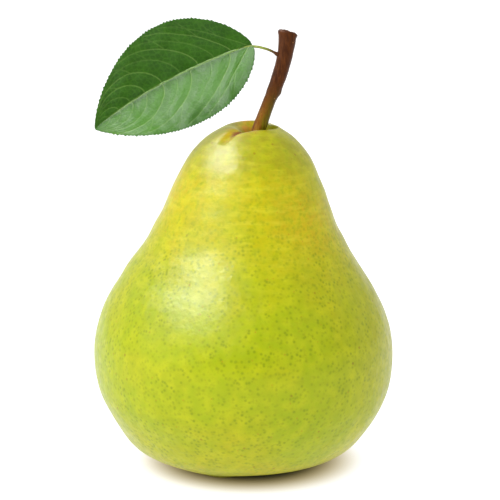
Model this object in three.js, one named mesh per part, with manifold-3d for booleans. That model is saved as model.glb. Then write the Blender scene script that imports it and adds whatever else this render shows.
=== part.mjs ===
// A fresh pear with its stem and one leaf, in millimetres, +Z up.
// The origin is on the surface that the pear stands on, under the middle of its belly.
// +X is to the right and +Y away from an observer who sees the leaf to the left of the stem.
import * as THREE from "three";
import { mergeVertices } from "three/addons/utils/BufferGeometryUtils.js";
import Module from "manifold-3d";

const wasm = await Module();
wasm.setup();

// The fruit
const BELLY_RADIUS = 38.4;
const FRUIT_HEIGHT = 88;
// From the floor of the stem cavity, over the rim, neck, belly and underside, to the floor of the blossom
// basin: radius as a share of BELLY_RADIUS, height as a share of FRUIT_HEIGHT, lean of the axis to +X in mm.
const MERIDIAN = [
  [0.0, 0.9, 4.5],
  [0.06, 0.905, 4.5],
  [0.095, 0.935, 4.6],
  [0.12, 0.972, 4.2],
  [0.15, 0.99, 3.0],
  [0.206, 0.984, 1.9],
  [0.304, 0.955, 1.6],
  [0.407, 0.902, 1.5],
  [0.484, 0.835, 1.2],
  [0.555, 0.76, 1.0],
  [0.63, 0.683, 0.7],
  [0.752, 0.597, 0.2],
  [0.882, 0.51, 0.0],
  [0.968, 0.425, 0.0],
  [1.0, 0.335, 0.0],
  [0.977, 0.235, 0.1],
  [0.893, 0.15, 0.2],
  [0.77, 0.073, 0.0],
  [0.64, 0.038, 0.0],
  [0.53, 0.031, 0.0],
  [0.43, 0.028, 0.0],
  [0.34, 0.03, 0.0],
  [0.25, 0.041, 0.0],
  [0.14, 0.063, 0.0],
  [0.0, 0.08, 0.0],
];
const ROWS_PER_STATION = 2;
const FRUIT_COLUMNS = 64;

// Five low ribs under the fruit, between the core's cells, that the fruit stands on.
const RIB_AZIMUTHS = [247, 335, 42, 108, 178];
const RIB_CIRCLE = 13.5;
const RIB_REACH = [7, 7, 4.5];
const RIB_DROP = 4.6;

// Soft swellings of the skin: place, reach along each axis, push outwards and push upwards.
// The second one is the fold of flesh that meets the stem on its left.
const SWELLINGS = [
  { at: [-2.6, 2.0, 88], reach: [2.6, 4.5, 3.2], out: 0.2, up: 0.5 },
  { at: [0.4, 2.4, 85], reach: [2.0, 3.0, 4.0], out: 0.0, up: 0.9 },
  { at: [6.0, -6.5, 87], reach: [5.0, 2.6, 3.0], out: 0.4, up: 0.2 },
  { at: [3.0, 6.5, 88], reach: [5.0, 3.0, 3.0], out: 0.0, up: 0.8 },
  { at: [-23.0, -4.0, 61], reach: [6.0, 18.0, 3.2], out: 0.35, up: 0.0 },
  { at: [-28.0, -6.0, 52], reach: [6.0, 18.0, 3.2], out: 0.35, up: 0.0 },
  { at: [24.0, -4.0, 58], reach: [6.0, 16.0, 4.0], out: 0.25, up: 0.0 },
];
// The crease that runs out of the stem cavity over its rim, to the front left.
const CREASE = [
  [2.2, -2.4, 84.5],
  [0.8, -4.8, 87.0],
  [-1.9, -5.5, 86.7],
  [-3.9, -7.2, 85.5],
  [-5.4, -9.0, 84.1],
];
const CREASE_DEPTH = 1.9;
const CREASE_WIDTH = 1.3;

// The stem: centre line, and radius across it, from its root in the flesh to its broken end.
const STEM = [
  [2.6, 0.3, 76.6, 1.5],
  [2.8, 0.2, 79.5, 1.75],
  [3.1, 0.1, 83.0, 1.9],
  [4.1, 0.0, 87.0, 1.72],
  [6.1, 0.0, 92.6, 1.6],
  [8.8, 0.1, 99.5, 1.75],
  [10.3, 0.4, 104.8, 1.95],
  [11.0, 0.8, 109.0, 2.15],
  [11.1, 1.1, 111.2, 2.35],
];
const STEM_STATIONS = 26;
const STEM_SIDES = 14;
const STEM_ROOT_GAP = 0.3;
// How far the hole for the root goes on past the stem's third station.
const SOCKET_RISE = 4.5;
const STEM_END_SLANT = 0.22;
const STEM_END_LENGTH = 1;
const STEM_BUMP = { at: [9.2, 0, 95.6], reach: 1.1, out: 0.45 };

// The leaf lies in a frame of its own: along its chord from base to tip, across it,
// and out of its upper face.
const LEAF_BASE = [2.6, 0.0, 107.8];
const LEAF_TIP = [-37.6, 0.6, 86.4];
const LEAF_FACING = [0.04, -0.99, 0.13];
const LEAF_HALF_WIDTH = 13.0;
const LEAF_WIDEST_AT = 0.44;
// How full the blade is towards its base and towards its tip: the lower, the fuller.
const LEAF_BASE_POWER = 0.69;
const LEAF_TIP_POWER = 0.88;
const LEAF_THICKNESS = 0.75;
const LEAF_FOLD = Math.tan(THREE.MathUtils.degToRad(29));
const MIDRIB_ARCH = 2.35;
const MIDRIB_ARCH_POWER = 0.7;
const LEAF_DROOP = 3.0;
const LEAF_WAVE = 0.7;
const LEAF_WAVES = 3.5;
const LOWER_WAVE_SHIFT = 1.3;
const TEETH = 54;
const TOOTH_HEIGHT = 0.32;
const TOOTH_TIP = 0.62;
// The first tooth starts this share of a tooth past the base, and teeth are low where the blade is narrow.
const FIRST_TOOTH = 0.3;
const TOOTH_GROWTH = 3;
const LEAF_ACROSS = [1, 0.62, 0.28, 0, -0.28, -0.62, -1];
const MIDRIB_TIP_RADIUS = 0.3;
// Shares of the blade's length that the midrib passes through.
const MIDRIB_AT = [0.06, 0.2, 0.4, 0.6, 0.86];
// The petiole, from where it leaves the stem to the base of the blade.
const PETIOLE = [
  [8.05, -0.3, 105.85],
  [7.3, -0.5, 106.3],
  [6.2, -0.6, 106.8],
  [4.8, -0.5, 107.2],
  [3.4, -0.2, 107.45],
];
const PETIOLE_RADIUS = 0.5;
const PETIOLE_SIDES = 6;
const PETIOLE_STEPS = 24;

// The calyx: five dried sepals and a tuft of stamens in the blossom basin.
const CALYX_CUP = [
  [0, 6.1],
  [1.9, 6.0],
  [2.5, 5.0],
  [2.0, 4.3],
  [1.2, 4.0],
  [0, 3.9],
];
const CALYX_SIDES = 20;
const SEPALS = 5;
// The first sepal's turn from +X, as a share of the angle between two sepals.
const SEPAL_TURN = 0.25;
const SEPAL_PATH = [
  [1.4, 5.0],
  [3.2, 4.6],
  [4.9, 3.7],
  [6.1, 2.6],
  [5.9, 1.6],
];
const SEPAL_HALF_WIDTH = 1.35;
const SEPAL_TAPER = 0.85;
const SEPAL_TAPER_POWER = 1.5;
const SEPAL_CUPPING = 0.35;
const SEPAL_THICKNESS = 0.7;
const SEPAL_STEPS = 8;
// Stamens stand in a ring at one radius and height, and spread to another radius at their tips.
const STAMENS = 7;
const STAMEN_FOOT = [0.7, 4.6];
const STAMEN_TIP_CIRCLE = 1.3;
const STAMEN_LENGTH = 2.2;
const STAMEN_RADIUS = 0.32;
const STAMEN_SIDES = 5;

const WELD_DISTANCE = 1e-4;
const CURVE_TENSION = 0.5;

const vector = ([x, y, z]) => new THREE.Vector3(x, y, z);

function smoothCurve(rows) {
  return new THREE.CatmullRomCurve3(rows.map((row) => vector(row)), false, "catmullrom", CURVE_TENSION);
}

// A smooth curve through numbered stations: at(u) gives the values there, with u counted in stations.
function stations(rows) {
  const curve = smoothCurve(rows);
  return (u) => curve.getPoint(u / (rows.length - 1));
}

// A closed geometry from its points and triangles.
function geometryOf(points, triangles) {
  const geometry = new THREE.BufferGeometry().setFromPoints(points);
  geometry.setIndex(triangles);
  return geometry;
}

// Joins rings of points into one closed body. Each ring runs counter-clockwise about the way
// from the first ring to the last.
function loft(rings) {
  const sides = rings[0].length;
  const points = rings.flat();
  const triangles = [];
  for (let i = 0; i + 1 < rings.length; i++) {
    for (let j = 0; j < sides; j++) {
      const a = i * sides + j;
      const b = i * sides + ((j + 1) % sides);
      triangles.push(a, b, b + sides, a, b + sides, a + sides);
    }
  }
  const cap = (ring, first, turned) => {
    const middle = points.length;
    points.push(ring.reduce((sum, p) => sum.add(p), new THREE.Vector3()).divideScalar(sides));
    for (let j = 0; j < sides; j++) {
      const a = first + j;
      const b = first + ((j + 1) % sides);
      triangles.push(...(turned ? [middle, b, a] : [middle, a, b]));
    }
  };
  cap(rings[0], 0, true);
  cap(rings[rings.length - 1], (rings.length - 1) * sides, false);
  return geometryOf(points, triangles);
}

// A round tube along a curve, with a radius for each share of its length.
function tube(curve, radiusAt, steps, sides) {
  const rings = [];
  let side = new THREE.Vector3(0, 1, 0);
  for (let i = 0; i <= steps; i++) {
    const share = i / steps;
    const along = curve.getTangent(share);
    side = side.clone().addScaledVector(along, -side.dot(along)).normalize();
    const across = new THREE.Vector3().crossVectors(along, side);
    const middle = curve.getPoint(share);
    const ring = [];
    for (let j = 0; j < sides; j++) {
      const angle = (2 * Math.PI * j) / sides;
      ring.push(
        middle
          .clone()
          .addScaledVector(side, Math.cos(angle) * radiusAt(share))
          .addScaledVector(across, Math.sin(angle) * radiusAt(share)),
      );
    }
    rings.push(ring);
  }
  return loft(rings);
}

// A thin sheet from rows of points on its middle, thickened along one direction, with both faces split alike.
function sheet(rows, thickness, direction) {
  const columns = rows[0].length;
  const middle = rows.flat();
  const lift = direction.clone().multiplyScalar(thickness / 2);
  const points = [
    ...middle.map((p) => p.clone().add(lift)),
    ...middle.map((p) => p.clone().sub(lift)),
  ];
  const below = middle.length;
  const triangles = [];
  const quad = (a, b, c, d) => triangles.push(a, b, c, a, c, d);
  for (let i = 0; i + 1 < rows.length; i++) {
    for (let j = 0; j + 1 < columns; j++) {
      const a = i * columns + j;
      const [b, c, d] = [a + columns, a + columns + 1, a + 1];
      triangles.push(a, b, c, a, c, d);
      triangles.push(a + below, c + below, b + below, a + below, d + below, c + below);
    }
  }
  const edge = [];
  for (let i = 0; i < rows.length; i++) edge.push(i * columns);
  for (let j = 1; j < columns; j++) edge.push((rows.length - 1) * columns + j);
  for (let i = rows.length - 2; i >= 0; i--) edge.push(i * columns + columns - 1);
  for (let j = columns - 2; j > 0; j--) edge.push(j);
  edge.forEach((a, k) => {
    const b = edge[(k + 1) % edge.length];
    quad(a, a + below, b + below, b);
  });
  return geometryOf(points, triangles);
}

// A geometry as a solid that can be joined and cut.
function solid(geometry) {
  const bare = geometry.clone();
  bare.deleteAttribute("normal");
  bare.deleteAttribute("uv");
  const merged = mergeVertices(bare, WELD_DISTANCE);
  return new wasm.Manifold(
    new wasm.Mesh({
      numProp: 3,
      vertProperties: merged.attributes.position.array,
      triVerts: new Uint32Array(merged.index.array),
    }),
  );
}

// A solid as a geometry.
function geometryFrom(made) {
  const mesh = made.getMesh();
  const geometry = new THREE.BufferGeometry();
  geometry.setAttribute("position", new THREE.BufferAttribute(new Float32Array(mesh.vertProperties), 3));
  geometry.setIndex(new THREE.BufferAttribute(new Uint32Array(mesh.triVerts), 1));
  geometry.computeVertexNormals();
  return geometry;
}

// How strongly a swelling at a place acts on a point, from 0 to 1.
function bell(point, at, reach) {
  const offset = point.clone().sub(vector(at)).divide(vector(reach));
  return Math.exp(-offset.lengthSq());
}

// Distance from a point to the crease, and how far along it the nearest place is, from 0 to 1.
function nearCrease(point) {
  let best = { distance: Infinity, along: 0 };
  for (let k = 0; k + 1 < CREASE.length; k++) {
    const segment = new THREE.Line3(vector(CREASE[k]), vector(CREASE[k + 1]));
    const share = segment.closestPointToPointParameter(point, true);
    const distance = segment.at(share, new THREE.Vector3()).distanceTo(point);
    if (distance < best.distance) best = { distance, along: (k + share) / (CREASE.length - 1) };
  }
  return best;
}

// Moves a point of the fruit's round form by its swellings, ribs and crease.
function shapeSkin(point, azimuth) {
  const outward = new THREE.Vector3(Math.cos(azimuth), Math.sin(azimuth), 0);
  const moved = point.clone();
  for (const { at, reach, out, up } of SWELLINGS) {
    const strength = bell(point, at, reach);
    moved.addScaledVector(outward, strength * out);
    moved.z += strength * up;
  }
  for (const degrees of RIB_AZIMUTHS) {
    const angle = THREE.MathUtils.degToRad(degrees);
    const at = [RIB_CIRCLE * Math.cos(angle), RIB_CIRCLE * Math.sin(angle), 0];
    moved.z -= RIB_DROP * bell(point, at, RIB_REACH);
  }
  const { distance, along } = nearCrease(point);
  moved.z -= CREASE_DEPTH * Math.exp(-((distance / CREASE_WIDTH) ** 2)) * Math.sqrt(1 - along);
  moved.z = Math.max(moved.z, 0);
  return moved;
}

function fruitForm() {
  const at = stations(MERIDIAN.map(([r, z, lean]) => [r * BELLY_RADIUS, z * FRUIT_HEIGHT, lean]));
  const rows = (MERIDIAN.length - 1) * ROWS_PER_STATION;
  const rings = [];
  for (let i = 1; i < rows; i++) {
    const { x: radius, y: height, z: lean } = at(i / ROWS_PER_STATION);
    const ring = [];
    for (let j = 0; j < FRUIT_COLUMNS; j++) {
      const azimuth = (-2 * Math.PI * j) / FRUIT_COLUMNS;
      const round = new THREE.Vector3(lean + radius * Math.cos(azimuth), radius * Math.sin(azimuth), height);
      ring.push(shapeSkin(round, azimuth));
    }
    rings.push(ring);
  }
  return loft(rings);
}

function stemRadius(share) {
  const u = share * (STEM.length - 1);
  const k = Math.min(Math.floor(u), STEM.length - 2);
  return THREE.MathUtils.lerp(STEM[k][3], STEM[k + 1][3], THREE.MathUtils.smoothstep(u - k, 0, 1));
}

function makeStem() {
  const geometry = tube(smoothCurve(STEM), stemRadius, STEM_STATIONS, STEM_SIDES);
  const places = geometry.getAttribute("position");
  const bump = vector(STEM_BUMP.at);
  const end = vector(STEM[STEM.length - 1]);
  for (let i = 0; i < places.count; i++) {
    const point = new THREE.Vector3().fromBufferAttribute(places, i);
    const nearBump = Math.exp(-((point.distanceTo(bump) / STEM_BUMP.reach) ** 2));
    point.x += STEM_BUMP.out * nearBump;
    if (point.z > end.z - STEM_END_LENGTH) point.z -= STEM_END_SLANT * (point.x - end.x);
    places.setXYZ(i, point.x, point.y, point.z);
  }
  return geometry;
}

// The hole in the flesh that the stem's root stands in.
function stemSocket() {
  const [foot, , top] = STEM;
  const bottom = vector(foot).add(new THREE.Vector3(0, 0, -STEM_ROOT_GAP));
  const rise = vector(top).sub(bottom).normalize().multiplyScalar(SOCKET_RISE);
  const curve = new THREE.LineCurve3(bottom, vector(top).add(rise));
  return tube(curve, () => top[3] + STEM_ROOT_GAP, 1, STEM_SIDES);
}

function makeFruit() {
  return geometryFrom(solid(fruitForm()).subtract(solid(stemSocket())));
}

// Half the blade's width at a share t of its length, as a share of its widest half.
function bladeShape(t) {
  const rise = (t / LEAF_WIDEST_AT) ** LEAF_BASE_POWER;
  const fall = ((1 - t) / (1 - LEAF_WIDEST_AT)) ** LEAF_TIP_POWER;
  return rise * fall;
}

// The place on the leaf at a share t of its length, v from -1 at the lower margin to 1 at the upper one.
function leafPoint(t, v, tooth) {
  const base = vector(LEAF_BASE);
  const chord = vector(LEAF_TIP).sub(base);
  const facing = vector(LEAF_FACING).normalize();
  const up = new THREE.Vector3().crossVectors(chord, facing).normalize();
  const half = LEAF_HALF_WIDTH * bladeShape(t) + (Math.abs(v) === 1 ? tooth : 0);
  const arch = MIDRIB_ARCH * Math.sin(Math.PI * t) ** MIDRIB_ARCH_POWER;
  const shift = v > 0 ? 0 : LOWER_WAVE_SHIFT;
  const wave = LEAF_WAVE * v * v * Math.sin(2 * Math.PI * LEAF_WAVES * t + shift);
  const depth = Math.abs(v) * half * LEAF_FOLD + wave * bladeShape(t) - LEAF_DROOP * t * t;
  return base
    .addScaledVector(chord, t)
    .addScaledVector(up, arch + v * half)
    .addScaledVector(facing, depth);
}

function leafBlade() {
  const rows = [];
  for (let k = 0; k < TEETH; k++) {
    for (const [share, height] of [[0, 0], [TOOTH_TIP, TOOTH_HEIGHT]]) {
      const t = (k + share + FIRST_TOOTH) / (TEETH + FIRST_TOOTH);
      const tooth = height * Math.min(1, TOOTH_GROWTH * bladeShape(t));
      rows.push(LEAF_ACROSS.map((v) => leafPoint(t, v, tooth)));
    }
  }
  return sheet(rows, LEAF_THICKNESS, vector(LEAF_FACING).normalize());
}

// The petiole and the midrib under the blade, as one tapering tube.
function leafRib() {
  const along = MIDRIB_AT.map((t) => leafPoint(t, 0, 0));
  const curve = new THREE.CatmullRomCurve3([...PETIOLE.map((p) => vector(p)), ...along]);
  const radius = (share) => THREE.MathUtils.lerp(PETIOLE_RADIUS, MIDRIB_TIP_RADIUS, share);
  return tube(curve, radius, PETIOLE_STEPS, PETIOLE_SIDES);
}

function makeLeaf() {
  return geometryFrom(solid(leafBlade()).add(solid(leafRib())));
}

// One dried sepal, which leaves the cup outwards and curls back at its tip.
function sepal(azimuth) {
  const line = stations(SEPAL_PATH.map(([r, z]) => [r, 0, z]));
  const outward = new THREE.Vector3(Math.cos(azimuth), Math.sin(azimuth), 0);
  const across = new THREE.Vector3(-Math.sin(azimuth), Math.cos(azimuth), 0);
  const rows = [];
  for (let i = 0; i <= SEPAL_STEPS; i++) {
    const share = i / SEPAL_STEPS;
    const { x: radius, z: height } = line(share * (SEPAL_PATH.length - 1));
    const half = SEPAL_HALF_WIDTH * (1 - SEPAL_TAPER * share ** SEPAL_TAPER_POWER);
    rows.push(
      [-1, 0, 1].map((v) => {
        const point = outward.clone().multiplyScalar(radius).addScaledVector(across, v * half);
        point.z = height - SEPAL_CUPPING * v * v;
        return point;
      }),
    );
  }
  return sheet(rows, SEPAL_THICKNESS, new THREE.Vector3(0, 0, 1));
}

function stamen(azimuth) {
  const [circle, height] = STAMEN_FOOT;
  const outward = new THREE.Vector3(Math.cos(azimuth), Math.sin(azimuth), 0);
  const foot = outward.clone().multiplyScalar(circle).setZ(height);
  const tip = outward.clone().multiplyScalar(STAMEN_TIP_CIRCLE).setZ(height - STAMEN_LENGTH);
  return tube(new THREE.LineCurve3(foot, tip), () => STAMEN_RADIUS, 2, STAMEN_SIDES);
}

function makeCalyx() {
  const profile = [...CALYX_CUP].reverse().map(([r, z]) => new THREE.Vector2(r, z));
  const cup = new THREE.LatheGeometry(profile, CALYX_SIDES).rotateX(Math.PI / 2);
  let made = solid(cup);
  for (let i = 0; i < SEPALS; i++) made = made.add(solid(sepal((2 * Math.PI * (i + SEPAL_TURN)) / SEPALS)));
  for (let i = 0; i < STAMENS; i++) made = made.add(solid(stamen((2 * Math.PI * i) / STAMENS)));
  return geometryFrom(made);
}

function piece(name, geometry, material) {
  const mesh = new THREE.Mesh(geometry, new THREE.MeshStandardMaterial(material));
  mesh.name = name;
  return mesh;
}

const pear = new THREE.Group();
pear.add(piece("fruit", makeFruit(), { color: 0xbfc83a, roughness: 0.42, metalness: 0 }));
pear.add(piece("stem", makeStem(), { color: 0x6b3f16, roughness: 0.7, metalness: 0 }));
pear.add(piece("leaf", makeLeaf(), { color: 0x4f8a3c, roughness: 0.5, metalness: 0 }));
pear.add(piece("calyx", makeCalyx(), { color: 0x4a3322, roughness: 0.85, metalness: 0 }));

export default pear;
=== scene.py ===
# A fresh pear with its stem and one leaf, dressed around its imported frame.
# Forms are worked out in millimetres in the frame's axes, and turned into metres as each mesh is made.
import math

import bpy
import numpy as np
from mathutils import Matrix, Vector


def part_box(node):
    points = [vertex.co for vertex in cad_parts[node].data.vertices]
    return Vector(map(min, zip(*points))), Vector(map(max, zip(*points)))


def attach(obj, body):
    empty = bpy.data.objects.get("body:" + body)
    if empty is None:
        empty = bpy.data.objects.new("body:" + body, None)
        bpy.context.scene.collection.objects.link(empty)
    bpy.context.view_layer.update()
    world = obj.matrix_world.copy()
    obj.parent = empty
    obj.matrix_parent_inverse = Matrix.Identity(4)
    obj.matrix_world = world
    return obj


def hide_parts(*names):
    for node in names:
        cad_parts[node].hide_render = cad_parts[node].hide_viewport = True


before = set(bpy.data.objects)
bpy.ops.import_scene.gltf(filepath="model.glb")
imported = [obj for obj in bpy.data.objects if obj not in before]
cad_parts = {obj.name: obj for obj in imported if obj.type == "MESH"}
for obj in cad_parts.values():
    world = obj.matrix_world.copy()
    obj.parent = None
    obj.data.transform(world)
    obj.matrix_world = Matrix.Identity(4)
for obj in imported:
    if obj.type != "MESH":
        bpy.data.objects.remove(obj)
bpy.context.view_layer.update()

MM = 0.001
FULL_TURN = 2 * math.pi
SAMPLES_PER_STATION = 40

# The fruit
BELLY_RADIUS = (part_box("fruit")[1].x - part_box("fruit")[0].x) / 2 / MM
FRUIT_HEIGHT = 88.0
# From the floor of the stem cavity, over the rim, neck, belly and underside, to the floor of the blossom
# basin: radius as a share of BELLY_RADIUS, height as a share of FRUIT_HEIGHT, lean of the axis to +X.
MERIDIAN = [
    [0.0, 0.9, 4.5],
    [0.06, 0.905, 4.5],
    [0.095, 0.935, 4.6],
    [0.12, 0.972, 4.2],
    [0.15, 0.99, 3.0],
    [0.206, 0.984, 1.9],
    [0.304, 0.955, 1.6],
    [0.407, 0.902, 1.5],
    [0.484, 0.835, 1.2],
    [0.555, 0.76, 1.0],
    [0.63, 0.683, 0.7],
    [0.752, 0.597, 0.2],
    [0.882, 0.51, 0.0],
    [0.968, 0.425, 0.0],
    [1.0, 0.335, 0.0],
    [0.977, 0.235, 0.1],
    [0.893, 0.15, 0.2],
    [0.77, 0.073, 0.0],
    [0.64, 0.038, 0.0],
    [0.53, 0.031, 0.0],
    [0.43, 0.028, 0.0],
    [0.34, 0.03, 0.0],
    [0.25, 0.041, 0.0],
    [0.14, 0.063, 0.0],
    [0.0, 0.08, 0.0],
]
FRUIT_ROWS = 250
FRUIT_COLUMNS = 288
SMALLEST_RING = 0.02

# Five low ribs under the fruit that it stands on.
RIB_AZIMUTHS = [247, 335, 42, 108, 178]
RIB_CIRCLE = 13.5
RIB_REACH = [7, 7, 4.5]
RIB_DROP = 4.6

# Soft swellings of the skin: place, reach along each axis, push outwards and push upwards.
SWELLINGS = [
    {"at": [-2.6, 2.0, 88], "reach": [2.6, 4.5, 3.2], "out": 0.2, "up": 0.5},
    {"at": [0.4, 2.4, 85], "reach": [2.0, 3.0, 4.0], "out": 0.0, "up": 0.9},
    {"at": [6.0, -6.5, 87], "reach": [5.0, 2.6, 3.0], "out": 0.4, "up": 0.2},
    {"at": [3.0, 6.5, 88], "reach": [5.0, 3.0, 3.0], "out": 0.0, "up": 0.8},
    {"at": [-23.0, -4.0, 61], "reach": [6.0, 18.0, 3.2], "out": 0.35, "up": 0.0},
    {"at": [-28.0, -6.0, 52], "reach": [6.0, 18.0, 3.2], "out": 0.35, "up": 0.0},
    {"at": [24.0, -4.0, 58], "reach": [6.0, 16.0, 4.0], "out": 0.25, "up": 0.0},
]

# The crease that runs out of the stem cavity over its rim, to the front left.
CREASE = [
    [2.2, -2.4, 84.5],
    [0.8, -4.8, 87.0],
    [-1.9, -5.5, 86.7],
    [-3.9, -7.2, 85.5],
    [-5.4, -9.0, 84.1],
]
CREASE_DEPTH = 1.9
CREASE_WIDTH = 1.3

# The slight unevenness of grown skin: height, wavelength and random seed of each layer.
SKIN_WAVES = [(0.13, 26, 3), (0.05, 9, 4)]
# It fades out towards the underside, towards the rim and at the belly's full width.
WAVES_ABOVE_FLOOR = (3, 12)
WAVES_BELOW_RIM = (89, 82)
WAVES_INSIDE_BELLY = (1.0, 0.96)
# Level ripples round the neck.
NECK_RIPPLE_HEIGHT = 0.045
NECK_RIPPLE_LENGTH = 6
NECK_RIPPLE_STRETCH = np.array([0.3, 0.3, 1.0])
NECK_RIPPLE_HEIGHTS = (40, 55)

# Where the skin's colours begin, and where they are full: heights, and distances from the middle.
NECK_HEIGHTS = (38, 66)
# Round the crown the skin is darkened as painted shade.
CROWN_HEIGHTS = (74, 82)
PORE_HEIGHTS = (76, 52)
BOTTOM_HEIGHTS = (22, 4)
# Painted shade darkens the right side of the fruit, reaching a little towards the back.
SHADE_HEIGHTS = (8, 34)
SHADE_THIN_HEIGHTS = (70, 84)
SHADE_DISTANCES = (6, 34)
SHADE_TOWARDS_BACK = 0.25
ROOT_DISTANCES = (3.4, 2.0)
ROOT_HEIGHTS = (70, 76)
ROOT_END_HEIGHTS = (86.5, 84.5)
BASIN_DISTANCES = (11, 5)
BASIN_HEIGHTS = (12, 8)
# How strongly each colour shows there, as shares.
RIPE_EVERYWHERE = 0.1
RIPE_NECK = 0.65
RIPE_BOTTOM = 0.45
RIPE_CLOUDS = 0.12
RIPE_CLOUD_LENGTH = 30
# Strength of the painted shade on the right side, and how much of it goes near the top.
SHADE = 0.65
SHADE_THINNING = 0.4
PORES_ON_NECK = 0.35
CAVITY_RUSSET = 0.8
# Riper patches of skin, the last one on the fold of flesh behind the stem.
AMBER_PATCHES = [
    {"at": [-17, -7, 74], "reach": [5, 9, 6], "strength": 0.2},
    {"at": [14, -13, 66], "reach": [7, 9, 8], "strength": 0.35},
    {"at": [1.0, 3.5, 87], "reach": [2.2, 3.5, 3.0], "strength": 1.4},
]
# Russet in the crease, darkest along its line as painted shade under the fold, and an amber glow beside it.
# Ends are shares of the crease's length.
CREASE_RUSSET_AND_SHADE = {"width": 1.5, "ends": (0.85, 0.3), "strength": 1.4}
CREASE_GLOW = {"width": 2.7, "ends": (1.15, 0.3), "strength": 1.0}

# The stem: centre line and radius, from its root in the flesh to its broken end.
STEM = [
    [2.6, 0.3, 76.6, 1.5],
    [2.8, 0.2, 79.5, 1.75],
    [3.1, 0.1, 83.0, 1.9],
    [4.1, 0.0, 87.0, 1.72],
    [6.1, 0.0, 92.6, 1.6],
    [8.8, 0.1, 99.5, 1.75],
    [10.3, 0.4, 104.8, 1.95],
    [11.0, 0.8, 109.0, 2.15],
    [11.1, 1.1, 111.2, 2.35],
]
STEM_ROWS = 240
STEM_COLUMNS = 64
STEM_END_SLANT = 0.22
STEM_END_FROM = 0.8
STEM_BUMP = {"at": [9.2, 0, 95.6], "reach": 1.1, "out": 0.3}
# Ridges of the bark: height, number round the stem, and twist in radians from the root to the end.
BARK_RIDGES = [(0.035, 5, 3.5), (0.02, 9, -5)]
# Unevenness of the bark, the last one only at the stem's end: push outwards, and wavelength.
STEM_KNOTS = {"out": 0.06, "length": 5}
STEM_KNOT_STRETCH = np.array([1, 1, 0.5])
STEM_GRAIN = {"out": 0.025, "length": 1.8}
STEM_RAGS = {"out": 0.07, "length": 2.2}
# The fleshy foot, the lip and the rounded edge of the stem's end: push outwards, and shares of its length.
STEM_FOOT = {"out": 0.5, "shares": (0.34, 0.22)}
STEM_LIP = {"out": 0.12, "at": 0.955, "width": 0.025}
STEM_EDGE = {"out": -0.42, "shares": (0.972, 1.0)}
# Rings across the broken end: size as a share of its edge, and depth below it.
STEM_END_RINGS = [(0.93, -0.08), (0.82, -0.06), (0.62, 0.1), (0.42, 0.14), (0.22, 0.08), (0.06, 0.05)]
STEM_END_ROUGHNESS = 0.09

# The leaf, in a frame of its own: along its chord, across it, and out of its upper face.
LEAF_BASE = [2.6, 0.0, 107.8]
LEAF_TIP = [-37.6, 0.6, 86.4]
LEAF_LENGTH = math.dist(LEAF_BASE, LEAF_TIP)
LEAF_FACING = [0.04, -0.99, 0.13]
LEAF_HALF_WIDTH = 13.0
LEAF_WIDEST_AT = 0.44
# How full the blade is towards its base and towards its tip: the lower, the fuller.
LEAF_BASE_POWER = 0.69
LEAF_TIP_POWER = 0.88
LEAF_FOLD = math.tan(math.radians(29))
LEAF_DROOP = 3.0
LEAF_WAVE = 0.7
LEAF_WAVES = 3.5
LOWER_WAVE_SHIFT = 1.3
MIDRIB_ARCH = 2.35
MIDRIB_ARCH_POWER = 0.7
LEAF_START = 0.004
LEAF_SPAN = 0.994
LEAF_ACROSS = 150
BLADE_THICKNESS = 0.3
MARGIN_THINNING = 0.5
MARGIN_THINNING_POWER = 20
# How much darker the margin, the tip and the lower margin's curl are, as painted shade, and how much paler
# the lower half is, as painted light.
MARGIN_SHADE = 0.4
TIP_SHADE = 0.8
CURL_SHADE = 0.45
PAINTED_LIGHT_HALF = 0.38
# Teeth differ in height, lean towards the tip, and are low where the blade is narrow.
TEETH = 54
TOOTH_HEIGHT = 0.42
TOOTH_HEIGHT_SHARES = (0.35, 1.25)
TOOTH_TIP = 0.66
TOOTH_HOLLOW = 1.3
TOOTH_GROWTH = 3
STEPS_PER_TOOTH = 5
MARGIN_POWER = 30

# The petiole, from the stem to the blade, and the midrib that it runs on into under the blade.
PETIOLE = [
    [8.75, -0.1, 105.45],
    [8.05, -0.3, 105.85],
    [7.3, -0.5, 106.3],
    [6.2, -0.6, 106.8],
    [4.8, -0.5, 107.2],
    [3.4, -0.2, 107.45],
]
PETIOLE_RADIUS = 0.32
PETIOLE_FLARE = 0.28
PETIOLE_ROWS = 160
PETIOLE_COLUMNS = 18
MIDRIB_TIP_RADIUS = 0.14
MIDRIB_AT = [0.04, 0.15, 0.3, 0.5, 0.7, 0.88]
MIDRIB_LIFT = -0.35

# Where each side vein leaves the midrib, as a share of the blade's length, and how strongly it shows.
UPPER_VEINS = [(0.03, 0.5), (0.124, 1.0), (0.225, 0.45), (0.319, 1.0), (0.43, 0.5), (0.545, 1.0),
               (0.653, 0.9), (0.75, 0.5), (0.829, 0.7), (0.9, 0.4)]
LOWER_VEINS = [(0.03, 0.9), (0.137, 1.0), (0.25, 0.4), (0.374, 1.0), (0.46, 0.4), (0.5445, 1.0),
               (0.65, 0.6), (0.74, 0.6), (0.82, 0.5), (0.89, 0.4)]
VEIN_REACH = 0.96
VEIN_SWEEP = 0.42
VEIN_END = 0.97
VEIN_POINTS = 12
VEIN_WANDER = 0.35
# A fork leaves each vein at a share of the half width, and sweeps and shows less.
FORK_AT = 0.55
FORK_SWEEP = 0.3 * VEIN_SWEEP
FORK_STRENGTH = 0.45
# Relief of the blade: depth and half width of each kind.
QUILT = {"depth": 0.4, "width": 1.2}
VEIN = {"depth": 0.18, "width": 0.13}
MIDRIB = {"depth": 0.25, "width": 0.24}
NET = {"depth": 0.035, "width": 0.22, "cell": 1.3}
BLADE_UNEVENNESS = 0.12
VEIN_RISE_BELOW = 0.16

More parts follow.
